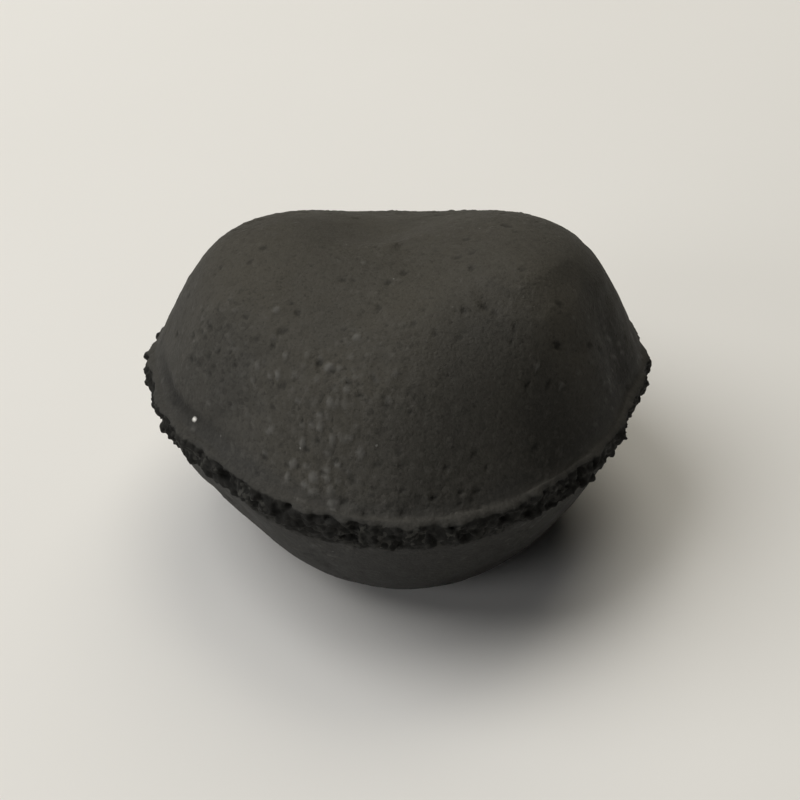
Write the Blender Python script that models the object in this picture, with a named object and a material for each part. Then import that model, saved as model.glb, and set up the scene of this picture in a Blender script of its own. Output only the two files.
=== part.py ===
"""A pressed charcoal briquette: one solid lump, shaped like a pillow, with torn flash round its waist.

Metres, +Z up. The briquette lies on the flat of its lower half. The origin is on that surface, under
the middle of the briquette's box. X runs across the briquette, and Y runs from its front to its back.
Sizes below are in millimetres.
"""

import math

import bmesh
import bpy
from mathutils import Vector, noise

MM = 0.001

# Plan of the pressed body at its waist, without the flash.
# The power is that of a superellipse: 2 is an ellipse, and less comes nearer to a lozenge.
# A bulge of the outline is a bearing and a reach in degrees, and a height.
BODY_WIDTH = 53.8
BODY_DEPTH = 55.8
PLAN_POWER = 1.78
WAIST_BULGES = (
    (-19.0, 8.0, -0.7),
    (-134.0, 10.0, -0.5),
    (-155.0, 6.0, 0.4),
)

# The two pressed halves.
# The shoulder is where the flank turns into the crown: its height over the waist, its place as a
# share of the way out from the middle, and how tightly it turns, where a higher power is tighter.
# A swell is a power of the place across, a power of the place from front to back, and a height.
# Its places run from -1 to 1 over the plan. A lump is a place across, a place back, a reach and a
# height, all in millimetres.
UPPER = {
    "shoulder": (10.0, 0.768, 5.4),
    "swells": (
        (0, 0, 6.0),
        (1, 0, 0.7),
        (0, 1, -3.2),
        (1, 1, -2.6),
        (2, 0, 7.2),
        (0, 2, -9.0),
        (2, 1, 0.7),
        (0, 3, -2.0),
        (0, 4, -8.3),
    ),
    "lumps": (
        (13.7, -9.4, 8.4, 2.5),
        (1.2, -17.3, 8.0, 2.0),
        (-3.8, 2.3, 5.0, -0.8),
        (-11.0, 5.0, 6.0, 0.5),
        (12.0, 6.0, 5.0, 0.4),
        (2.0, 6.0, 6.0, -0.5),
    ),
}
LOWER = {
    "shoulder": (18.2, 0.75, 2.45),
    "swells": (
        (1, 1, 1.6),
        (2, 0, 1.8),
    ),
    "lumps": (
        (-18.0, -11.0, 8.0, -1.7),
        (8.0, -16.5, 10.0, 1.2),
        (15.0, 6.0, 9.0, 0.6),
        (3.0, 18.0, 7.0, -1.0),
    ),
}

# The flash: the rough edge that the two press rolls leave where they meet.
FLASH_THICKNESS = 3.6
FLASH_WIDTH = 0.9
FLASH_FULLNESS = 5.0
TEAR_DEPTH = 0.65
TEAR_LENGTH = 2.8
FINE_TEAR_SHARE = 0.45
EDGE_WANDER = 0.35
EDGE_WANDER_LENGTH = 6.0
SEAM_WAVE = 0.25

# Unevenness of the pressed faces: broad swells, and pits where the char crumbled.
UNEVEN_HEIGHT = 0.14
UNEVEN_LENGTH = 8.0
PIT_DEPTH = 0.4
PIT_LENGTH = 4.5
PIT_START = 0.25

# Depth that is worn off the lowest part of the crown, which leaves the flat to lie on.
WORN_OFF = 0.5

# Mesh density: columns round the body and rings from crown to crown.
# The relief fades to nothing over a small share of the way out from the middle of each crown.
COLUMNS = 116
RINGS = 40
FLASH_SHARE = 2.5 / 20
RING_SPREAD = 1.15
CALM_MIDDLE = 0.3


def plan_radius(bearing):
    """Distance from the middle to the body's outline at its waist, at a bearing."""
    across = abs(math.cos(bearing)) / (BODY_WIDTH / 2)
    along = abs(math.sin(bearing)) / (BODY_DEPTH / 2)
    radius = (across**PLAN_POWER + along**PLAN_POWER) ** (-1 / PLAN_POWER)
    for place, reach, height in WAIST_BULGES:
        apart = math.remainder(bearing - math.radians(place), math.tau) / math.radians(reach)
        radius += height * math.exp(-(apart**2))
    return radius


def bend(run, power):
    """Turns a straight rise into a level one, where the run passes 1."""
    return run / (1 + run**power) ** (1 / power)


def half_height(x, y, reach, half):
    """Height over the waist of a smooth half, where reach is 0 in the middle and 1 at the waist."""
    top, place, power = half["shoulder"]
    foot = FLASH_THICKNESS / 2
    share = bend((1 - reach) / (1 - place), power) / bend(1 / (1 - place), power)
    height = foot + (top - foot) * share
    across = 2 * x / BODY_WIDTH
    along = 2 * y / BODY_DEPTH
    for across_power, along_power, rise in half["swells"]:
        height += rise * across**across_power * along**along_power * (1 - reach**2)
    for lump_x, lump_y, lump_reach, rise in half["lumps"]:
        apart = ((x - lump_x) ** 2 + (y - lump_y) ** 2) / lump_reach**2
        height += rise * math.exp(-apart) * (1 - reach**4)
    return height


def outward(point):
    """Direction square to the ellipsoid of the body's sizes, at a point."""
    thickness = UPPER["shoulder"][0] + LOWER["shoulder"][0]
    return Vector(
        (
            point.x / BODY_WIDTH**2,
            point.y / BODY_DEPTH**2,
            point.z / thickness**2,
        )
    ).normalized()


def relief(point, reach):
    """Height of the uneven and pitted face over the smooth form, at a point."""
    swell = noise.noise(point / UNEVEN_LENGTH)
    pit = max(0.0, noise.noise(point / PIT_LENGTH) - PIT_START) / (1 - PIT_START)
    return (UNEVEN_HEIGHT * swell - PIT_DEPTH * pit) * min(1.0, reach / CALM_MIDDLE) ** 2


def half_point(bearing, rise, half, mirror):
    """Point on a half, where rise runs from 0 at its foot to 1 in the middle of its crown.

    The mirror is 1 on the upper half and -1 on the lower.
    """
    reach = 1 - rise**RING_SPREAD
    radius = reach * plan_radius(bearing)
    x = radius * math.cos(bearing)
    y = radius * math.sin(bearing)
    point = Vector((x, y, mirror * half_height(x, y, reach, half)))
    return point + outward(point) * relief(point, reach)


def flash_point(bearing, level):
    """Point on the flash, where level runs from -1 at its lower edge to 1 at its upper edge."""
    radius = plan_radius(bearing)
    around = Vector((radius * math.cos(bearing), radius * math.sin(bearing), 0.0))
    place = around + Vector((0.0, 0.0, level * FLASH_THICKNESS / 2))
    tear = noise.noise(place / TEAR_LENGTH)
    tear += FINE_TEAR_SHARE * noise.noise(2.3 * place / TEAR_LENGTH)
    fullness = 1 - abs(level) ** FLASH_FULLNESS
    radius += fullness * (FLASH_WIDTH + TEAR_DEPTH * tear)
    wander = EDGE_WANDER * noise.noise(around / EDGE_WANDER_LENGTH)
    return Vector((radius * math.cos(bearing), radius * math.sin(bearing), place.z + wander * level))


def surface_point(bearing, latitude):
    """Point of the whole surface, where latitude runs from -1 at the lower crown to 1 at the upper."""
    rise = (abs(latitude) - FLASH_SHARE) / (1 - FLASH_SHARE)
    if rise <= 0:
        point = flash_point(bearing, latitude / FLASH_SHARE)
    elif latitude > 0:
        point = half_point(bearing, rise, UPPER, 1)
    else:
        point = half_point(bearing, rise, LOWER, -1)
    point.z += SEAM_WAVE * math.sin(2 * bearing + 0.7)
    return point


def add_briquette(collection):
    """The whole lump, from a sphere whose rings are moved to the pressed form."""
    body = bmesh.new()
    bmesh.ops.create_uvsphere(body, u_segments=COLUMNS, v_segments=RINGS, radius=1.0)
    for vertex in body.verts:
        bearing = math.atan2(vertex.co.y, vertex.co.x)
        latitude = math.asin(max(-1.0, min(1.0, vertex.co.z))) / (math.pi / 2)
        vertex.co = surface_point(bearing, latitude)
    floor = min(vertex.co.z for vertex in body.verts) + WORN_OFF
    for vertex in body.verts:
        vertex.co.z = max(vertex.co.z, floor)
    lows = [min(vertex.co[axis] for vertex in body.verts) for axis in range(2)]
    highs = [max(vertex.co[axis] for vertex in body.verts) for axis in range(2)]
    foot = Vector(((lows[0] + highs[0]) / 2, (lows[1] + highs[1]) / 2, floor))
    for vertex in body.verts:
        vertex.co = (vertex.co - foot) * MM
    bmesh.ops.recalc_face_normals(body, faces=body.faces)
    mesh = bpy.data.meshes.new("briquette")
    body.to_mesh(mesh)
    body.free()
    mesh.shade_smooth()
    briquette = bpy.data.objects.new("briquette", mesh)
    collection.objects.link(briquette)
    return briquette


def charcoal():
    """Dull, nearly black pressed char."""
    material = bpy.data.materials.new("charcoal")
    material.use_nodes = True
    shader = material.node_tree.nodes["Principled BSDF"]
    shader.inputs["Base Color"].default_value = (0.035, 0.034, 0.031, 1.0)
    shader.inputs["Roughness"].default_value = 0.85
    shader.inputs["Metallic"].default_value = 0.0
    return material


def main():
    for thing in list(bpy.data.objects):
        bpy.data.objects.remove(thing, do_unlink=True)
    collection = bpy.data.collections.new("charcoal_briquette")
    bpy.context.scene.collection.children.link(collection)
    briquette = add_briquette(collection)
    briquette.data.materials.append(charcoal())


main()
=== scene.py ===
"""A pressed charcoal briquette on a pale floor: its grainy skin, its torn waist, the light and the camera.

The model is in metres, +Z up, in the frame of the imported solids. The form below is worked out in
millimetres from the middle of the waist, and is set down on the floor at the end.
"""

import math
import random

import bpy
import numpy as np
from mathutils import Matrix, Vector, kdtree, noise


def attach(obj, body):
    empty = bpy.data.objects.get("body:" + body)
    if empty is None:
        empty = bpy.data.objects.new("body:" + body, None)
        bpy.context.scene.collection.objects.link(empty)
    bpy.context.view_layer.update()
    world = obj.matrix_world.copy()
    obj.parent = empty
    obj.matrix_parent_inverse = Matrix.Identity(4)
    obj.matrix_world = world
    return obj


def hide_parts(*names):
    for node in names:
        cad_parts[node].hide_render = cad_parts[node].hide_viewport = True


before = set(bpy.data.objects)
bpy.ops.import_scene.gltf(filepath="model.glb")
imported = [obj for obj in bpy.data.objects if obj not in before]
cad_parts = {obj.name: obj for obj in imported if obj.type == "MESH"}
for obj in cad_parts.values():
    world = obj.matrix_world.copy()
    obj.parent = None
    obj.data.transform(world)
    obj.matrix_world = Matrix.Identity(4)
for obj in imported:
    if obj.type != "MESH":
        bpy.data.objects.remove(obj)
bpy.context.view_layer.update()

MM = 0.001

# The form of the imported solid: plan, pressed halves and flash, as in the part's source.
# The fine tears are this many times as fine as the others, and the seam's wave is turned in radians.
BODY_WIDTH = 53.8
BODY_DEPTH = 55.8
PLAN_POWER = 1.78
WAIST_BULGES = (
    (-19.0, 8.0, -0.7),
    (-134.0, 10.0, -0.5),
    (-155.0, 6.0, 0.4),
)
UPPER = {
    "shoulder": (10.0, 0.768, 5.4),
    "swells": (
        (0, 0, 6.0),
        (1, 0, 0.7),
        (0, 1, -3.2),
        (1, 1, -2.6),
        (2, 0, 7.2),
        (0, 2, -9.0),
        (2, 1, 0.7),
        (0, 3, -2.0),
        (0, 4, -8.3),
    ),
    "lumps": (
        (13.7, -9.4, 8.4, 2.5),
        (1.2, -17.3, 8.0, 2.0),
        (-3.8, 2.3, 5.0, -0.8),
        (-11.0, 5.0, 6.0, 0.5),
        (12.0, 6.0, 5.0, 0.4),
        (2.0, 6.0, 6.0, -0.5),
    ),
}
LOWER = {
    "shoulder": (18.2, 0.75, 2.45),
    "swells": (
        (1, 1, 1.6),
        (2, 0, 1.8),
    ),
    "lumps": (
        (-18.0, -11.0, 8.0, -1.7),
        (8.0, -16.5, 10.0, 1.2),
        (15.0, 6.0, 9.0, 0.6),
        (3.0, 18.0, 7.0, -1.0),
    ),
}
FLASH_THICKNESS = 3.6
FLASH_WIDTH = 0.9
FLASH_FULLNESS = 5.0
TEAR_DEPTH = 0.65
TEAR_LENGTH = 2.8
FINE_TEAR_SHARE = 0.45
FINE_TEAR_SCALE = 2.3
EDGE_WANDER = 0.35
EDGE_WANDER_LENGTH = 6.0
SEAM_WAVE = 0.25
SEAM_TURN = 0.7
UNEVEN_HEIGHT = 0.14
UNEVEN_LENGTH = 8.0
PIT_DEPTH = 0.4
PIT_LENGTH = 4.5
PIT_START = 0.25
WORN_OFF = 0.5
CALM_MIDDLE = 0.3

# The net of the fine mesh: squares across each half, rows up the flash, and how far each half's net
# is drawn together towards the waist, where the flank is steep.
SQUARES = 200
FLASH_ROWS = 22
UPPER_GATHER = 0.25
LOWER_GATHER = 0.45

# How coarse the pressed skin is: its middle, its swing to either side over a length, and its least.
# A patch adds to it: a place across, a place back, a reach and a strength.
COARSE_MIDDLE = 0.17
COARSE_SWING = 0.4
COARSE_LENGTH = 9.0
LEAST_COARSE = 0.04
COARSE_PATCHES = (
    (-6.0, -20.0, 6.5, 0.5),
    (-20.0, -10.0, 7.0, 0.25),
    (19.0, -12.0, 6.0, 0.1),
    (4.0, 20.0, 8.0, 0.5),
)

# Soft mottling and grains of the skin, as pairs of a length and a height. Smooth skin keeps a share
# of the fine grain. A grain ends this far from its middle, as a share of its length.
MOTTLING = ((3.8, 0.05), (1.7, 0.03))
GRAIN = (1.15, 0.1)
FINE_GRAIN = (0.7, 0.07)
LEAST_FINE_GRAIN = 0.25
GRAIN_END = 0.62

# Crumbs of the torn band and its swells, as pairs of a length and a height. The crumbs grow from the
# upper edge of the flash down to a level, and the lip carries only a trace of them.
CRUMBS = ((1.35, 0.34), (0.75, 0.22))
CRUMB_SWELLS = ((0.9, 0.16), (2.4, 0.2))
FULL_CRUMBS = 0.75
LIP_CRUMBS = 0.2

# Pale grains stand out of the skin in groups: a place across, a place back, a reach and their number.
# A grain's strength is a least and a random part. Its radius and its height are each a least and a
# part that grows with its strength.
GRAIN_GROUPS = (
    (-5.3, -17.8, 2.2, 18),
    (-7.2, -23.8, 2.8, 34),
    (-12.0, -17.0, 6.0, 24),
    (9.0, 20.0, 4.0, 30),
    (17.0, -15.0, 4.0, 5),
)
GRAIN_STRENGTH = (0.3, 0.7)
PALE_GRAIN_RADIUS = (0.28, 0.2)
PALE_GRAIN_HEIGHT = (0.06, 0.1)

# The torn band starts at this level of the flash, where 1 is its upper edge, and ends this far below
# the flash. Each edge wanders to either side, and fades in over a short way.
# A tongue reaches further down: a bearing and a reach in degrees, and a depth.
BAND_FROM = 0.8
BAND_FROM_WANDER = 0.14
BAND_FROM_FADE = 0.16
BAND_BELOW = 0.7
BAND_BELOW_WANDER = 0.5
BAND_BELOW_FADE = 0.35
RAGGED_LENGTH = 1.6
BAND_TONGUES = (
    (-122.0, 24.0, 1.2),
    (-73.0, 9.0, 0.8),
    (18.0, 14.0, 0.6),
    (75.0, 22.0, 0.9),
    (150.0, 18.0, 0.5),
)

# Shallow grooves inside the rim, at the foot of the upper half, also painted dark as shade: a bearing, a
# reach in degrees, a depth.
RIM_GROOVES = (
    (-156.0, 15.0, 0.4),
    (35.0, 25.0, 0.25),
    (112.0, 18.0, 0.3),
)
GROOVE_REACH = 0.973
GROOVE_WIDTH = 0.012

# Spots strewn over the surface: where they lie, the mark they leave, how many there are, their least
# and greatest radius, their depth, where a depth below 0 stands out, and how steep their sides are.
# A hollow's mark paints the pit or hole dark as shade.
SPOTS = (
    ("skin", None, 30, 1.2, 2.6, 0.08, 1.0),
    ("skin", "hollow_shade", 330, 0.26, 0.5, 0.18, 1.7),
    ("coarse", "chip", 700, 0.26, 0.42, -0.07, 1.5),
    ("band", "hollow_shade", 340, 0.3, 0.75, 0.42, 1.5),
    ("band", "chip", 320, 0.28, 0.5, -0.16, 1.5),
)

# A strewn pit is likelier where the skin is coarse, but has a small chance where it is smooth too.
# Chips of the skin keep to the coarse places, the more so the higher their power is.
# Holes and chips of the band lie where it is torn by more than this share.
SMOOTH_CHANCE = 0.05
CHIP_POWER = 1.5
BAND_CORE = 0.6

# Seeds of the random draws: the strewn spots, the groups of grains, and the spots with places.
STREWN_SEED = 3
GROUP_SEED = 41
PLACED_SEED = 31

# A spot is stretched by a share each way, and its edge wanders by a share over a length, in one of
# many turns. No edge wanders further out than the reach, as a share of the radius.
# The shallowest spots have this share of the full depth, and small ones are shallower still.
SPOT_STRETCH = (0.75, 1.35)
SPOT_WANDER = 0.4
SPOT_WANDER_LENGTH = 0.8
SPOT_TURNS = 50
SPOT_REACH = 1.5
SHALLOWEST = 0.5
SMALL_SPOT_DEPTH = 1.6
PALE_GRAIN_STEEP = 1.5
SINGLE_STEEP = 1.6

# Single pits of the upper half: a place across, a place back, a radius and a depth.
PITS = (
    (-7.8, -16.7, 0.5, 0.3),
    (16.0, -13.8, 0.5, 0.3),
    (11.8, 1.5, 0.5, 0.25),
    (-10.2, -11.2, 0.4, 0.25),
    (-21.6, -10.1, 0.5, 0.25),
    (-21.2, -8.4, 0.35, 0.25),
    (-20.3, -9.2, 0.35, 0.25),
    (-19.2, -9.5, 0.35, 0.2),
)

# The one bright spot in the skin, a glint painted white as a highlight, written the same way. It stands
# out, so its depth is below 0.
GLINT_SPOT = (-21.2, -14.3, 0.3, -0.12)

# Large holes in the band: a bearing in degrees, a level on the flash, a radius and a depth.
BAND_HOLES = (
    (-132.0, 0.1, 0.9, 0.6),
    (-122.0, -0.2, 0.7, 0.5),
    (-103.0, -0.1, 0.85, 0.6),
    (-96.0, -0.5, 0.6, 0.4),
    (-90.0, -0.2, 0.75, 0.5),
    (-77.0, -0.3, 0.85, 0.6),
    (-68.0, 0.1, 0.6, 0.45),
)

# The dust that lies on the skin, with painted light and shade in it, from 0 to this much at the most: the
# share by which the skin looks up, and a little more, so that the top is painted lighter and the underside
# darker as shade. The rim has lost some of it.
# A patch that holds more or less of it, and paints light or shade with it, is a place across, a place back,
# a reach and a strength.
MOST_DUST = 1.5
DUST_ON_FLANKS = 0.1
RIM_REACHES = (0.95, 0.98)
RIM_DUST_LOSS = 0.6
DUST_AND_SHADE_PATCHES = (
    (19.5, -15.0, 7.0, -0.5),
    (16.0, -9.5, 4.0, 0.6),
    (17.0, -14.0, 4.0, 0.9),
    (11.0, -18.0, 4.0, 0.35),
    (8.5, -14.5, 4.0, -0.35),
    (1.5, -12.0, 3.5, 0.15),
    (-4.5, -6.5, 5.0, -0.15),
    (-7.5, -21.5, 6.0, 0.55),
    (-18.0, -6.0, 6.0, 0.15),
)

# Places of the upper half painted darker as shade, written the same way.
SHADE_PATCHES = (
    (17.0, -21.0, 5.0, 0.85),
    (24.0, -7.0, 4.0, 0.5),
    (4.0, -26.5, 4.0, 0.3),
)

# The lip over the band, painted paler as a highlight where it faces up to the light: its levels on the
# flash and its reaches on the upper half, from where it starts to where it is full. The painted highlight
# is weaker about a bearing, given with a reach in degrees.
LIP_LEVELS = (0.7, 0.95)
LIP_REACHES = (0.975, 0.99)
WEAK_LIP_HIGHLIGHT = (-150.0, 45.0)

# Height over the floor at which the skin starts to look worn.
WORN_FADE = 0.35


def plan_radius(bearing):
    """Distance from the middle to the body's outline at its waist, at a bearing."""
    across = abs(math.cos(bearing)) / (BODY_WIDTH / 2)
    along = abs(math.sin(bearing)) / (BODY_DEPTH / 2)
    radius = (across**PLAN_POWER + along**PLAN_POWER) ** (-1 / PLAN_POWER)
    for place, reach, height in WAIST_BULGES:
        apart = math.remainder(bearing - math.radians(place), math.tau) / math.radians(reach)
        radius += height * math.exp(-(apart**2))
    return radius


def bend(run, power):
    """Turns a straight rise into a level one, where the run passes 1."""
    return run / (1 + run**power) ** (1 / power)


def half_height(x, y, reach, half):
    """Height over the waist of a smooth half, where reach is 0 in the middle and 1 at the waist."""
    top, place, power = half["shoulder"]
    foot = FLASH_THICKNESS / 2
    share = bend((1 - reach) / (1 - place), power) / bend(1 / (1 - place), power)
    height = foot + (top - foot) * share
    across = 2 * x / BODY_WIDTH
    along = 2 * y / BODY_DEPTH
    for across_power, along_power, rise in half["swells"]:
        height += rise * across**across_power * along**along_power * (1 - reach**2)
    for lump_x, lump_y, lump_reach, rise in half["lumps"]:
        apart = ((x - lump_x) ** 2 + (y - lump_y) ** 2) / lump_reach**2
        height += rise * math.exp(-apart) * (1 - reach**4)
    return height


def outward(point):
    """Direction square to the ellipsoid of the body's sizes, at a point."""
    thickness = UPPER["shoulder"][0] + LOWER["shoulder"][0]
    return Vector(
        (
            point.x / BODY_WIDTH**2,
            point.y / BODY_DEPTH**2,
            point.z / thickness**2,
        )
    ).normalized()


def relief(point, reach):
    """Height of the uneven and pitted face over the smooth form, at a point."""
    swell = noise.noise(point / UNEVEN_LENGTH)
    pit = max(0.0, noise.noise(point / PIT_LENGTH) - PIT_START) / (1 - PIT_START)
    return (UNEVEN_HEIGHT * swell - PIT_DEPTH * pit) * min(1.0, reach / CALM_MIDDLE) ** 2


def half_point(bearing, reach, half, mirror):
    """Point on the upper half, where the mirror is 1, or on the lower, where it is -1."""
    radius = reach * plan_radius(bearing)
    x = radius * math.cos(bearing)
    y = radius * math.sin(bearing)
    point = Vector((x, y, mirror * half_height(x, y, reach, half)))
    return point + outward(point) * relief(point, reach)


def flash_point(bearing, level):
    """Point on the flash, where level runs from -1 at its lower edge to 1 at its upper edge."""
    radius = plan_radius(bearing)
    around = Vector((radius * math.cos(bearing), radius * math.sin(bearing), 0.0))
    place = around + Vector((0.0, 0.0, level * FLASH_THICKNESS / 2))
    tear = noise.noise(place / TEAR_LENGTH)
    tear += FINE_TEAR_SHARE * noise.noise(FINE_TEAR_SCALE * place / TEAR_LENGTH)
    fullness = 1 - abs(level) ** FLASH_FULLNESS
    radius += fullness * (FLASH_WIDTH + TEAR_DEPTH * tear)
    wander = EDGE_WANDER * noise.noise(around / EDGE_WANDER_LENGTH)
    return Vector((radius * math.cos(bearing), radius * math.sin(bearing), place.z + wander * level))


def seam_wave(bearing):
    """Rise of the whole waist at a bearing, because the two press rolls met a little askew."""
    return Vector((0.0, 0.0, SEAM_WAVE * math.sin(2 * bearing + SEAM_TURN)))


def disc_place(column, row):
    """Bearing and share of the way out, for a corner of the square net that covers a half."""
    u = 2 * column / SQUARES - 1
    v = 2 * row / SQUARES - 1
    if abs(u) >= abs(v):
        bearing = math.pi / 4 * v / u if u else 0.0
        return (bearing if u >= 0 else bearing + math.pi), abs(u)
    bearing = math.pi / 2 - math.pi / 4 * u / v
    return (bearing if v > 0 else bearing + math.pi), abs(v)


def skin_net():
    """The net's points, its faces, and for each point how it lies: its half, reach, bearing and level.

    The half is 1 on the upper half, -1 on the lower and 0 on the flash. A point on the flash has a level
    between -1 and 1, and a point on a half keeps the level of the edge next to it.
    """
    points = []
    kinds = []
    across = SQUARES + 1
    for half, gather, side in ((UPPER, UPPER_GATHER, 1), (LOWER, LOWER_GATHER, -1)):
        for row in range(across):
            for column in range(across):
                bearing, share = disc_place(column, row)
                reach = share * (1 + gather * (1 - share))
                points.append(half_point(bearing, reach, half, side) + seam_wave(bearing))
                kinds.append((side, reach, bearing, side))
    edge = [
        (column, row)
        for row in range(across)
        for column in range(across)
        if row in (0, SQUARES) or column in (0, SQUARES)
    ]
    edge.sort(key=lambda corner: disc_place(*corner)[0] % math.tau)
    upper_edge = [row * across + column for column, row in edge]
    lower_edge = [across**2 + index for index in upper_edge]
    rings = [upper_edge]
    for ring in range(1, FLASH_ROWS):
        start = len(points)
        run = 1 - 2 * ring / FLASH_ROWS
        level = (run + math.sin(math.pi / 2 * run)) / 2
        for corner in edge:
            bearing = disc_place(*corner)[0]
            points.append(flash_point(bearing, level) + seam_wave(bearing))
            kinds.append((0, 1.0, bearing, level))
        rings.append(list(range(start, len(points))))
    rings.append(lower_edge)
    faces = []
    for row in range(SQUARES):
        for column in range(SQUARES):
            corner = row * across + column
            square = (corner, corner + 1, corner + across + 1, corner + across)
            faces.append(square)
            faces.append(tuple(across**2 + index for index in reversed(square)))
    for over, under in zip(rings, rings[1:]):
        for place in range(len(edge)):
            following = (place + 1) % len(edge)
            faces.append((over[place], under[place], under[following], over[following]))
    return points, faces, kinds


def rise(value, start, end):
    """Goes from 0 at the start to 1 at the end."""
    return min(1.0, max(0.0, (value - start) / (end - start)))


def near(point, place_x, place_y, reach):
    """1 at a place of the plan, and falling off with the distance from it."""
    return math.exp(-((point.x - place_x) ** 2 + (point.y - place_y) ** 2) / reach**2)


def patchwork(point, patches):
    """Sum of patches at a point. A patch is a place across, a place back, a reach and a strength."""
    return sum(strength * near(point, x, y, reach) for x, y, reach, strength in patches)


def round_way(bearing, place, reach):
    """1 at a bearing in degrees, and falling off with the angle from it."""
    return math.exp(-((math.remainder(bearing - math.radians(place), math.tau) / math.radians(reach)) ** 2))


def coarseness(point, side):
    """How coarse the skin is at a point, from 0 where it is pressed smooth to 1."""
    share = COARSE_MIDDLE + COARSE_SWING * noise.noise(point / COARSE_LENGTH)
    if side >= 0:
        share += patchwork(point, COARSE_PATCHES)
    return max(LEAST_COARSE, min(1.0, share))


def grain(point, length):
    """Rounded grains packed side by side: 1 on top of a grain, 0 in the gaps."""
    apart = noise.voronoi(point / length)[0][0]
    return max(0.0, 1 - (apart / GRAIN_END) ** 2)


def torn_share(point, kind):
    """How torn the surface is at a point, from 0 on the pressed skin to 1 in the band."""
    side, _, bearing, level = kind
    if side > 0:
        return 0.0
    ragged = noise.noise(point / RAGGED_LENGTH)
    if side == 0:
        return rise(BAND_FROM + BAND_FROM_WANDER * ragged - level, 0.0, BAND_FROM_FADE)
    drop = seam_wave(bearing).z - FLASH_THICKNESS / 2 - point.z
    below = BAND_BELOW
    for place, width, depth in BAND_TONGUES:
        below += depth * round_way(bearing, place, width)
    return rise(below + BAND_BELOW_WANDER * ragged - drop, 0.0, BAND_BELOW_FADE)


def groove_depth(kind):
    """Depth of the grooves inside the rim, at a point of the upper half."""
    side, reach, bearing, _ = kind
    across = math.exp(-(((reach - GROOVE_REACH) / GROOVE_WIDTH) ** 2)) if side > 0 else 0.0
    return across * sum(depth * round_way(bearing, place, width) for place, width, depth in RIM_GROOVES)


def skin_height(point, coarse, kind):
    """Height of the mottling, the grains and the rim's grooves over the form."""
    height = -groove_depth(kind)
    for length, share in MOTTLING:
        height += share * noise.noise(point / length)
    length, share = GRAIN
    height += coarse * share * (grain(point, length) - 0.5)
    length, share = FINE_GRAIN
    fine = LEAST_FINE_GRAIN + (1 - LEAST_FINE_GRAIN) * coarse
    return height + fine * share * (grain(point, length) - 0.5)


def crumb_height(point):
    """Height of the crumbs of the torn band over the form."""
    height = sum(share * (grain(point, length) - 0.5) for length, share in CRUMBS)
    for length, share in CRUMB_SWELLS:
        height += share * noise.noise(point / length)
    return height


def surface_height(point, kind, coarse, torn):
    """Height of grains and crumbs over the form, at a point."""
    side, _, _, level = kind
    if side > 0:
        return skin_height(point, coarse, kind)
    crumb = crumb_height(point)
    if side == 0:
        crumb *= rise(level, 1.0, FULL_CRUMBS)
        skin = LIP_CRUMBS * crumb
    else:
        skin = skin_height(point, coarse, kind)
    return torn * crumb + (1 - torn) * skin


def scatter(chance, count, seed):
    """Picks some of the net's points, more of them where the chance is higher."""
    draw = random.Random(seed)
    picked = []
    while len(picked) < count:
        index = draw.randrange(len(chance))
        if draw.random() < chance[index]:
            picked.append(index)
    return picked


class Relief:
    """Heights over the form at the net's points, with the marks that the spots leave."""

    def __init__(self, points, heights):
        self.points = points
        self.heights = heights
        self.marks = {name: np.zeros(len(points)) for name in ("hollow_shade", "chip", "dot", "glint_spot")}
        self.tree = kdtree.KDTree(len(points))
        for index, point in enumerate(points):
            self.tree.insert(point, index)
        self.tree.balance()

    def add_spot(self, centre, radius, depth, steep, share_of, mark, draw, strength=1.0):
        """Sinks an uneven round spot about a point, or raises it where the depth is below 0."""
        turn = Vector((draw.uniform(0, SPOT_TURNS), 0, 0))
        stretch = Vector([draw.uniform(*SPOT_STRETCH) for _ in range(3)])
        for place, index, _ in self.tree.find_range(self.points[centre], radius * SPOT_REACH):
            step = place - self.points[centre]
            apart = Vector([step[axis] * stretch[axis] for axis in range(3)]).length / radius
            apart *= 1 + SPOT_WANDER * noise.noise(place / SPOT_WANDER_LENGTH + turn)
            if apart < 1:
                share = min(1.0, steep * (1 - apart**2)) * share_of[index]
                self.heights[index] -= depth * share
                if mark:
                    self.marks[mark][index] = max(self.marks[mark][index], share * strength)

    def add_spots(self, centres, mark, least, greatest, depth, steep, share_of, seed):
        """Adds a spot of its own size at each of some points, and more small ones than large."""
        draw = random.Random(seed)
        for centre in centres:
            radius = least + (greatest - least) * draw.random() ** 2
            sink = depth * (SHALLOWEST + (1 - SHALLOWEST) * draw.random())
            sink *= min(1.0, SMALL_SPOT_DEPTH * radius / greatest)
            self.add_spot(centre, radius, sink, steep, share_of, mark, draw)

    def nearest(self, place):
        """The net's point that is nearest to a place."""
        return self.tree.find(place)[1]

    def upper_point(self, x, y, kinds):
        """The net's point on the upper half that is nearest to a place of the plan."""
        place = Vector((x, y))
        upper = (index for index, kind in enumerate(kinds) if kind[0] > 0)
        return min(upper, key=lambda index: (self.points[index].xy - place).length)


def strew_spots(relief_map, whole, coarse, torn):
    """Strews pits, chips and holes over the skin and the band, at random."""
    chances = {
        "skin": whole * (SMOOTH_CHANCE + coarse**2),
        "coarse": whole * coarse**CHIP_POWER,
        "band": (torn > BAND_CORE) * 1.0,
    }
    share_of = {"skin": whole, "coarse": whole, "band": torn}
    for seed, (where, mark, count, least, greatest, depth, steep) in enumerate(SPOTS):
        centres = scatter(chances[where], count, 2 * seed + STREWN_SEED)
        sizes = (least, greatest, depth, steep)
        relief_map.add_spots(centres, mark, *sizes, share_of[where], 2 * seed + STREWN_SEED + 1)


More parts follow.
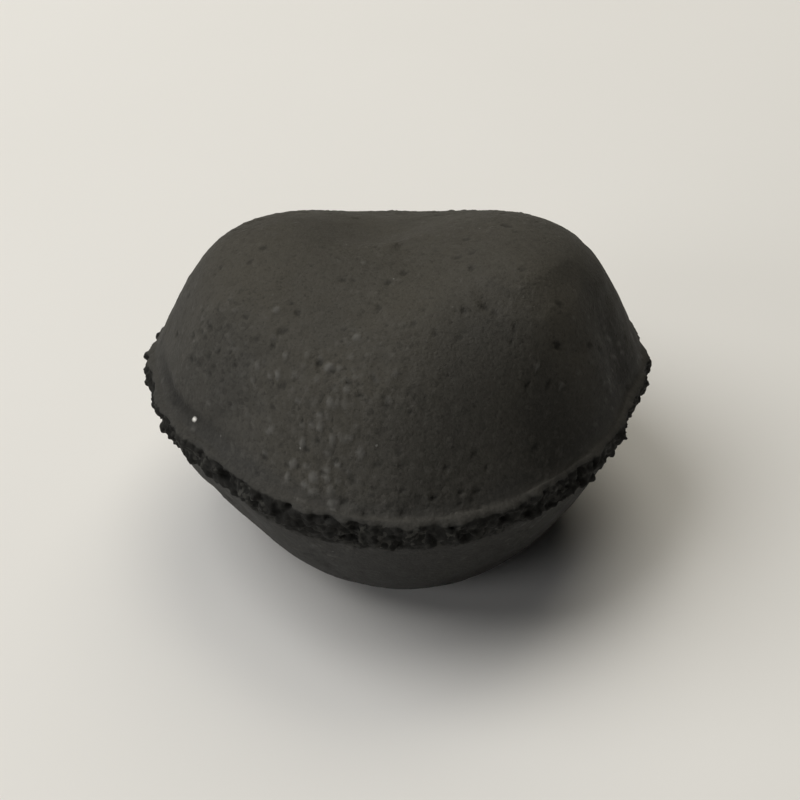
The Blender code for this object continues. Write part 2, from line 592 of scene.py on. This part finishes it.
def place_spots(relief_map, kinds, whole, torn):
    """Adds what has a place of its own: the groups of grains, the pits, the band's holes, the bright spot
    painted white as a glint.
    """
    draw = random.Random(PLACED_SEED)
    for seed, (x, y, reach, count) in enumerate(GRAIN_GROUPS):
        chance = [
            near(point, x, y, reach) if kind[0] > 0 else 0.0
            for point, kind in zip(relief_map.points, kinds)
        ]
        for centre in scatter(chance, count, seed + GROUP_SEED):
            strength = GRAIN_STRENGTH[0] + GRAIN_STRENGTH[1] * draw.random()
            radius = PALE_GRAIN_RADIUS[0] + PALE_GRAIN_RADIUS[1] * strength
            depth = -PALE_GRAIN_HEIGHT[0] - PALE_GRAIN_HEIGHT[1] * strength
            relief_map.add_spot(centre, radius, depth, PALE_GRAIN_STEEP, whole, "dot", draw, strength)
    for x, y, radius, depth in PITS:
        centre = relief_map.upper_point(x, y, kinds)
        relief_map.add_spot(centre, radius, depth, SINGLE_STEEP, whole, "hollow_shade", draw)
    for bearing, level, radius, depth in BAND_HOLES:
        bearing = math.radians(bearing)
        centre = relief_map.nearest(flash_point(bearing, level) + seam_wave(bearing))
        relief_map.add_spot(centre, radius, depth, SINGLE_STEEP, torn, "hollow_shade", draw)
    x, y, radius, depth = GLINT_SPOT
    centre = relief_map.upper_point(x, y, kinds)
    relief_map.add_spot(centre, radius, depth, SINGLE_STEEP, whole, "glint_spot", draw)


def lip_highlight_share(kind):
    """How far a point lies on the lip over the band, which is painted paler as a highlight."""
    side, reach, bearing, level = kind
    if side < 0:
        return 0.0
    share = rise(reach, *LIP_REACHES) if side > 0 else rise(level, *LIP_LEVELS)
    return share * (1 - round_way(bearing, *WEAK_LIP_HIGHLIGHT))


def dust_and_shade_share(point, kind, upward):
    """How much dust lies at a point, with painted light on top and painted shade underneath, where the skin
    looks up by a share.
    """
    side, reach, _, _ = kind
    dust_and_shade = upward + DUST_ON_FLANKS
    if side > 0:
        dust_and_shade += patchwork(point, DUST_AND_SHADE_PATCHES)
    return dust_and_shade * (1 - RIM_DUST_LOSS * rise(reach, *RIM_REACHES)) / MOST_DUST


def painted_shade_share(point, kind):
    """How much painted shade darkens the skin at a point."""
    return patchwork(point, SHADE_PATCHES) if kind[0] > 0 else 0.0


def settle(points, normals, heights):
    """The raised points in metres, set down on the floor, and how worn each of them is underneath."""
    base = np.array([tuple(point) for point in points])
    places = base + normals * heights[:, None]
    floor = base[:, 2].min() + WORN_OFF
    worn = np.clip((floor + WORN_FADE - places[:, 2]) / WORN_FADE, 0, 1)
    places[:, 2] = np.maximum(places[:, 2], floor)
    low, high = base.min(0), base.max(0)
    foot = np.array([(low[0] + high[0]) / 2, (low[1] + high[1]) / 2, floor])
    return (places - foot) * MM, worn


def build_skin():
    """The whole briquette as one closed mesh, with what its material needs to know of its surface."""
    points, faces, kinds = skin_net()
    mesh = bpy.data.meshes.new("briquette_skin")
    mesh.from_pydata(points, [], faces)
    normals = np.zeros(len(points) * 3, np.float32)
    mesh.vertex_normals.foreach_get("vector", normals)
    normals = normals.reshape(-1, 3)

    on_net = list(zip(points, kinds))
    coarse = np.array([coarseness(point, kind[0]) for point, kind in on_net])
    torn = np.array([torn_share(point, kind) for point, kind in on_net])
    whole = np.array([1.0 if kind[0] else 0.0 for kind in kinds]) * (1 - torn)
    heights = [surface_height(*place, *shares) for place, shares in zip(on_net, zip(coarse, torn))]
    relief_map = Relief(points, np.array(heights))
    strew_spots(relief_map, whole, coarse, torn)
    place_spots(relief_map, kinds, whole, torn)
    places, worn = settle(points, normals, relief_map.heights)

    dust_and_shade = [dust_and_shade_share(*place, upward) for place, upward in zip(on_net, normals[:, 2])]
    marks = {
        "torn": torn,
        "worn": worn,
        "coarse": coarse,
        "lip_highlight": np.array([lip_highlight_share(kind) for kind in kinds]) * (1 - torn),
        "groove_shade": np.array([groove_depth(kind) for kind in kinds]) / RIM_GROOVES[0][2],
        "painted_shade": np.array([painted_shade_share(point, kind) for point, kind in on_net]),
        "dust_and_shade": np.clip(dust_and_shade, 0, 1),
    }
    mesh.vertices.foreach_set("co", places.astype(np.float32).ravel())
    for name, values in (marks | relief_map.marks).items():
        attribute = mesh.attributes.new(name, "FLOAT", "POINT")
        attribute.data.foreach_set("value", values.astype(np.float32))
    mesh.update()
    mesh.shade_smooth()
    skin = bpy.data.objects.new("briquette_skin", mesh)
    bpy.context.scene.collection.objects.link(skin)
    return skin


class Nodes:
    """A short way to write a material's nodes."""

    def __init__(self, name):
        self.material = bpy.data.materials.new(name)
        self.material.use_nodes = True
        self.tree = self.material.node_tree
        self.shader = self.tree.nodes["Principled BSDF"]

    def link(self, source, target):
        if isinstance(source, bpy.types.NodeSocket):
            self.tree.links.new(source, target)
        else:
            target.default_value = source

    def place(self):
        return self.tree.nodes.new("ShaderNodeTexCoord").outputs["Object"]

    def attribute(self, name):
        node = self.tree.nodes.new("ShaderNodeAttribute")
        node.attribute_name = name
        return node.outputs["Fac"]

    def noise(self, vector, name):
        length, detail, rough = NOISES[name]
        node = self.tree.nodes.new("ShaderNodeTexNoise")
        node.inputs["Scale"].default_value = 1 / (length * MM)
        node.inputs["Detail"].default_value = detail
        node.inputs["Roughness"].default_value = rough
        self.link(vector, node.inputs["Vector"])
        return node.outputs["Fac"]

    def noise_vector(self, vector, length):
        node = self.tree.nodes.new("ShaderNodeTexNoise")
        node.inputs["Scale"].default_value = 1 / (length * MM)
        self.link(vector, node.inputs["Vector"])
        return self.vector("SUBTRACT", node.outputs["Color"], (0.5, 0.5, 0.5))

    def cells(self, vector, length):
        """Distance from the middle of a cell, and three numbers that each cell has for itself."""
        node = self.tree.nodes.new("ShaderNodeTexVoronoi")
        node.inputs["Scale"].default_value = 1 / (length * MM)
        self.link(vector, node.inputs["Vector"])
        return node.outputs["Distance"], self.separate(node.outputs["Color"])

    def math(self, operation, first, second=0.0, clamp=False):
        node = self.tree.nodes.new("ShaderNodeMath")
        node.operation = operation
        node.use_clamp = clamp
        self.link(first, node.inputs[0])
        self.link(second, node.inputs[1])
        return node.outputs[0]

    def times(self, first, second):
        return self.math("MULTIPLY", first, second)

    def ramp(self, value, name):
        node = self.tree.nodes.new("ShaderNodeMapRange")
        node.clamp = True
        for socket, number in zip(("From Min", "From Max", "To Min", "To Max"), RAMPS[name]):
            node.inputs[socket].default_value = number
        self.link(value, node.inputs["Value"])
        return node.outputs["Result"]

    def mix(self, share, first, second):
        node = self.tree.nodes.new("ShaderNodeMix")
        node.data_type = "RGBA"
        self.link(share, node.inputs["Factor"])
        self.link(first, node.inputs[6])
        self.link(second, node.inputs[7])
        return node.outputs[2]

    def vector(self, operation, first, second):
        node = self.tree.nodes.new("ShaderNodeVectorMath")
        node.operation = operation
        self.link(first, node.inputs[0])
        self.link(second, node.inputs[1])
        return node.outputs[0]

    def separate(self, vector):
        node = self.tree.nodes.new("ShaderNodeSeparateXYZ")
        self.link(vector, node.inputs[0])
        return node.outputs

    def bump(self, height, distance, strength, normal=None):
        node = self.tree.nodes.new("ShaderNodeBump")
        node.inputs["Distance"].default_value = distance * MM
        node.inputs["Strength"].default_value = strength
        self.link(height, node.inputs["Height"])
        if normal is not None:
            self.link(normal, node.inputs["Normal"])
        return node.outputs["Normal"]


# The clean colour also stands for painted shade underneath, and the dusty colour also for painted light on
# top.
CHAR_CLEAN_AND_SHADED = (0.0310, 0.0305, 0.0288, 1.0)
CHAR_DUSTY_AND_LIT = (0.0560, 0.0519, 0.0422, 1.0)
# Painted shade for the front right of the skin.
CHAR_PAINTED_SHADE = (0.0130, 0.0123, 0.0099, 1.0)
CHAR_TORN = (0.0070, 0.0068, 0.0060, 1.0)
CHAR_CRUMB = (0.0370, 0.0363, 0.0325, 1.0)
CHAR_PALE = (0.0700, 0.0670, 0.0600, 1.0)
CHAR_DOT = (0.1000, 0.0980, 0.0920, 1.0)
GLINT_SPOT_WHITE = (0.7500, 0.7400, 0.7100, 1.0)
GLINT = (0.2200, 0.2200, 0.2100, 1.0)

# The marks that change the skin's tone, in this order, with how much of their colour they bring. The lip's
# mark paints a highlight and the grooves' mark paints shade.
COVERS = (
    ("lip_highlight", 0.25, CHAR_PALE),
    ("chip", 0.3, CHAR_PALE),
    ("dot", 0.75, CHAR_DOT),
    ("groove_shade", 0.7, CHAR_TORN),
    ("worn", 0.4, CHAR_PALE),
)

# Noises of the materials: a length, the octaves of detail and the roughness.
NOISES = {
    "clouds": (9.0, 4.0, 0.6),
    "speckle": (0.3, 3.0, 0.7),
    "blotches": (2.4, 2.0, 0.5),
    "fray": (0.8, 3.0, 0.6),
    "sheen": (2.2, 3.0, 0.6),
    "grit": (0.3, 3.0, 0.65),
    "floor": (60.0, 3.0, 0.5),
}

# How pale the room is where it is seen.
ROOM_STRENGTH = 0.66

# How values of the materials turn into others: from the first pair onto the second.
RAMPS = {
    "clouds": (0.3, 0.7, -0.13, 0.13),
    "pale cells": (0.7, 1.0, 0.0, 1.0),
    "pale where coarse": (0.1, 0.9, 0.15, 0.5),
    "dark cells": (0.3, 0.0, 0.0, 1.0),
    "dark where coarse": (0.1, 0.9, 0.15, 0.4),
    "pale speckle": (0.55, 0.75, 0.0, 0.35),
    "dark speckle": (0.45, 0.28, 0.0, 0.5),
    "crumb cells": (0.5, 0.9, 0.0, 1.0),
    "blotches": (0.42, 0.58, 0.2, 0.95),
    "fray": (0.2, 0.8, -0.25, 0.25),
    "torn cover": (0.3, 0.8, 0.0, 0.95),
    "hollow cover": (0.0, 1.0, 0.5, 0.8),
    "glints": (0.999, 1.004, 0.0, 1.0),
    "glints in hollows": (0.0, 0.3, 1.0, 0.0),
    "glints in cells": (0.2, 0.35, 1.0, 0.0),
    "glint_spot": (0.2, 0.8, 0.0, 1.0),
    "sheen": (0.3, 0.7, 0.68, 0.84),
    "pebbles": (0.0, 0.6, 1.0, 0.0),
    "pebble sizes": (0.0, 1.0, 0.3, 1.0),
    "far floor": (0.35, 1.5, 0.0, ROOM_STRENGTH),
}

# The cells of the skin's finest grains: their length, and how far and over what length they warp.
CELL_LENGTH = 0.45
CELL_WARP = 0.3
CELL_WARP_LENGTH = 0.6

# A coarse skin glints a little more often. A glint is painted lighter as a highlight, by this share of the
# glint colour.
COARSE_LUCK = 0.01
GLINT_SHARE = 0.5

# What smooths or roughens the surface, its shine, and the fine relief as a height and a strength.
GLINT_SMOOTH = 0.4
CHIP_SMOOTH = 0.15
TORN_ROUGH = 0.1
SHINE = 0.2
PEBBLES = (0.06, 0.6)
GRIT = (0.1, 0.7)


def pressed_tone(nodes, place, marks, tone):
    """Colour of the pressed skin: dust and painted light on top, painted shade underneath and at the front
    right, with paler and darker cells and speckle.
    """
    # Dust, with painted light on top and painted shade underneath, turns the clean colour dusty.
    dust_and_shade = nodes.math("ADD", marks["dust_and_shade"], nodes.ramp(nodes.noise(place, "clouds"), "clouds"), clamp=True)
    colour = nodes.mix(dust_and_shade, CHAR_CLEAN_AND_SHADED, CHAR_DUSTY_AND_LIT)
    colour = nodes.mix(marks["painted_shade"], colour, CHAR_PAINTED_SHADE)
    pale = nodes.times(nodes.ramp(tone, "pale cells"), nodes.ramp(marks["coarse"], "pale where coarse"))
    colour = nodes.mix(pale, colour, CHAR_PALE)
    dark = nodes.times(nodes.ramp(tone, "dark cells"), nodes.ramp(marks["coarse"], "dark where coarse"))
    colour = nodes.mix(dark, colour, CHAR_TORN)
    speckle = nodes.noise(place, "speckle")
    colour = nodes.mix(nodes.ramp(speckle, "pale speckle"), colour, CHAR_PALE)
    colour = nodes.mix(nodes.ramp(speckle, "dark speckle"), colour, CHAR_TORN)
    for name, share, cover in COVERS:
        colour = nodes.mix(nodes.math("MULTIPLY", marks[name], share, clamp=True), colour, cover)
    return colour


def torn_tone(nodes, place, marks, tone, colour):
    """Lays the nearly black torn char over a colour, and paints pits and holes dark as shade."""
    blotches = nodes.ramp(nodes.noise(place, "blotches"), "blotches")
    crumb = nodes.mix(nodes.times(nodes.ramp(tone, "crumb cells"), blotches), CHAR_TORN, CHAR_CRUMB)
    frayed = nodes.math("ADD", marks["torn"], nodes.ramp(nodes.noise(place, "fray"), "fray"))
    colour = nodes.mix(nodes.ramp(frayed, "torn cover"), colour, crumb)
    hole_shade = nodes.times(marks["hollow_shade"], nodes.ramp(marks["torn"], "hollow cover"))
    return nodes.mix(hole_shade, colour, CHAR_TORN)


def bright_cells(nodes, marks, apart, chance):
    """The few cells that glint, apart from those in pits: smoother, and painted lighter as highlights."""
    lucky = nodes.math("ADD", chance, nodes.times(marks["coarse"], COARSE_LUCK))
    glint = nodes.times(nodes.ramp(lucky, "glints"), nodes.ramp(marks["hollow_shade"], "glints in hollows"))
    return nodes.times(glint, nodes.ramp(apart, "glints in cells"))


def roughness(nodes, place, marks, glint):
    """A matt sheen that varies, smoother on glints and chips and rougher where the skin is torn."""
    rough = nodes.ramp(nodes.noise(place, "sheen"), "sheen")
    rough = nodes.math("SUBTRACT", rough, nodes.times(glint, GLINT_SMOOTH))
    rough = nodes.math("SUBTRACT", rough, nodes.times(marks["chip"], CHIP_SMOOTH))
    return nodes.math("ADD", rough, nodes.times(marks["torn"], TORN_ROUGH), clamp=True)


def charcoal():
    """Matt pressed char, dusty and painted lighter on top, painted darker as shade underneath, in pits and
    at the front right, darker where it is torn, with pale grains and a few glints painted as highlights.
    """
    nodes = Nodes("pressed_charcoal")
    place = nodes.place()
    names = ("torn", "worn", "coarse", "lip_highlight", "groove_shade", "painted_shade", "dust_and_shade", "hollow_shade", "chip", "dot", "glint_spot")
    marks = {name: nodes.attribute(name) for name in names}
    warp = nodes.vector("MULTIPLY", nodes.noise_vector(place, CELL_WARP_LENGTH), (CELL_WARP * MM,) * 3)
    apart, (tone, chance, tilt) = nodes.cells(nodes.vector("ADD", place, warp), CELL_LENGTH)

    colour = pressed_tone(nodes, place, marks, tone)
    colour = torn_tone(nodes, place, marks, tone, colour)
    glint = bright_cells(nodes, marks, apart, chance)
    # Glints are painted lighter in the colour as highlights.
    colour = nodes.mix(nodes.times(glint, GLINT_SHARE), colour, GLINT)
    # The bright spot is painted white as a glint's highlight.
    colour = nodes.mix(nodes.ramp(marks["glint_spot"], "glint_spot"), colour, GLINT_SPOT_WHITE)
    nodes.link(colour, nodes.shader.inputs["Base Color"])
    nodes.link(roughness(nodes, place, marks, glint), nodes.shader.inputs["Roughness"])
    nodes.shader.inputs["Specular IOR Level"].default_value = SHINE

    pebbles = nodes.times(nodes.ramp(apart, "pebbles"), nodes.ramp(tilt, "pebble sizes"))
    normal = nodes.bump(pebbles, *PEBBLES)
    normal = nodes.bump(nodes.noise(place, "grit"), *GRIT, normal)
    nodes.link(normal, nodes.shader.inputs["Normal"])
    return nodes.material


# The floor, in metres: its half width, its two tones, and the room's own tone, which takes over from
# the lamps' light far from the middle.
FLOOR_HALF = 12.0
FLOOR_TONES = ((0.78, 0.775, 0.765, 1.0), (0.81, 0.807, 0.8, 1.0))
FLOOR_ROUGHNESS = 0.9
FLOOR_SHINE = 0.2
ROOM_COLOUR = (1.0, 0.98, 0.94, 1.0)


def pale_floor():
    """A wide, matt, nearly white floor that fades into the room."""
    nodes = Nodes("pale_floor")
    place = nodes.place()
    nodes.link(nodes.mix(nodes.noise(place, "floor"), *FLOOR_TONES), nodes.shader.inputs["Base Color"])
    nodes.shader.inputs["Roughness"].default_value = FLOOR_ROUGHNESS
    nodes.shader.inputs["Specular IOR Level"].default_value = FLOOR_SHINE
    x, y, _ = nodes.separate(place)
    apart = nodes.math("SQRT", nodes.math("ADD", nodes.times(x, x), nodes.times(y, y)))
    nodes.link(nodes.ramp(apart, "far floor"), nodes.shader.inputs["Emission Strength"])
    nodes.shader.inputs["Emission Color"].default_value = ROOM_COLOUR
    nodes.material.cycles.emission_sampling = "NONE"
    return nodes.material


def build_floor():
    mesh = bpy.data.meshes.new("floor")
    corners = [(x * FLOOR_HALF, y * FLOOR_HALF, 0.0) for x, y in ((-1, -1), (1, -1), (1, 1), (-1, 1))]
    mesh.from_pydata(corners, [], [(0, 1, 2, 3)])
    mesh.materials.append(pale_floor())
    floor = bpy.data.objects.new("floor", mesh)
    bpy.context.scene.collection.objects.link(floor)


# The camera stands where the photograph was taken from: straight in front of the briquette, this
# far above the horizon and this far from the middle of its waist, in metres. It looks at a point a
# little off that middle, which frames the briquette as the photograph does. The lens is in millimetres.
WAIST = Vector((0.0, 0.0, 0.01808))
CAMERA_ELEVATION = math.radians(36.5)
CAMERA_DISTANCE = 0.168
CAMERA_AIM = WAIST + Vector((0.0001, -0.00255, -0.00344))
CAMERA_LENS = 67.5
CAMERA_SENSOR = 36.0
CAMERA_CLIP = (0.01, 20.0)


def build_camera():
    data = bpy.data.cameras.new("camera")
    data.lens = CAMERA_LENS
    data.sensor_width = CAMERA_SENSOR
    data.clip_start, data.clip_end = CAMERA_CLIP
    camera = bpy.data.objects.new("camera", data)
    back = Vector((0.0, -math.cos(CAMERA_ELEVATION), math.sin(CAMERA_ELEVATION)))
    camera.location = WAIST + CAMERA_DISTANCE * back
    camera.rotation_euler = (CAMERA_AIM - camera.location).to_track_quat("-Z", "Y").to_euler()
    bpy.context.scene.collection.objects.link(camera)
    bpy.context.scene.camera = camera


# Soft lamps: the main one high on the left, one at the back, one nearly overhead and a low one at the
# front left. A weak light comes from all round, and the room is seen paler than it shines.
# Each lamp has a bearing and an elevation in degrees, a size across in metres, a power in watts and a
# colour.
LAMPS = {
    "key": (176.0, 52.0, 0.9, 7.0, (1.0, 0.985, 0.95)),
    "back": (78.0, 52.0, 0.8, 3.2, (1.0, 0.94, 0.8)),
    "top": (100.0, 80.0, 0.8, 1.9, (1.0, 0.96, 0.87)),
    "side": (212.0, 14.0, 0.5, 2.8, (1.0, 0.99, 0.98)),
}
LAMP_DISTANCE = 1.0
SKY_STRENGTH = 0.01


def build_light():
    for name, (azimuth, elevation, size, power, colour) in LAMPS.items():
        data = bpy.data.lights.new(name, "AREA")
        data.shape = "DISK"
        data.size = size
        data.energy = power
        data.color = colour
        lamp = bpy.data.objects.new(name, data)
        level = math.cos(math.radians(elevation))
        side = Vector(
            (
                math.cos(math.radians(azimuth)) * level,
                math.sin(math.radians(azimuth)) * level,
                math.sin(math.radians(elevation)),
            )
        )
        lamp.location = WAIST + LAMP_DISTANCE * side
        lamp.rotation_euler = (-side).to_track_quat("-Z", "Y").to_euler()
        lamp.visible_camera = False
        bpy.context.scene.collection.objects.link(lamp)


def build_room():
    """The world round the stage: a weak light from everywhere, and a paler tone where it is seen."""
    world = bpy.data.worlds.new("room")
    world.use_nodes = True
    sky = world.node_tree.nodes["Background"]
    sky.inputs["Color"].default_value = ROOM_COLOUR
    rays = world.node_tree.nodes.new("ShaderNodeLightPath")
    strength = world.node_tree.nodes.new("ShaderNodeMapRange")
    strength.inputs["To Min"].default_value = SKY_STRENGTH
    strength.inputs["To Max"].default_value = ROOM_STRENGTH
    world.node_tree.links.new(rays.outputs["Is Camera Ray"], strength.inputs["Value"])
    world.node_tree.links.new(strength.outputs["Result"], sky.inputs["Strength"])
    bpy.context.scene.world = world
    bpy.context.scene.view_settings.view_transform = "Standard"


skin = build_skin()
skin.data.materials.append(charcoal())
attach(skin, "root")
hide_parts("briquette")
build_floor()
build_light()
build_room()
build_camera()
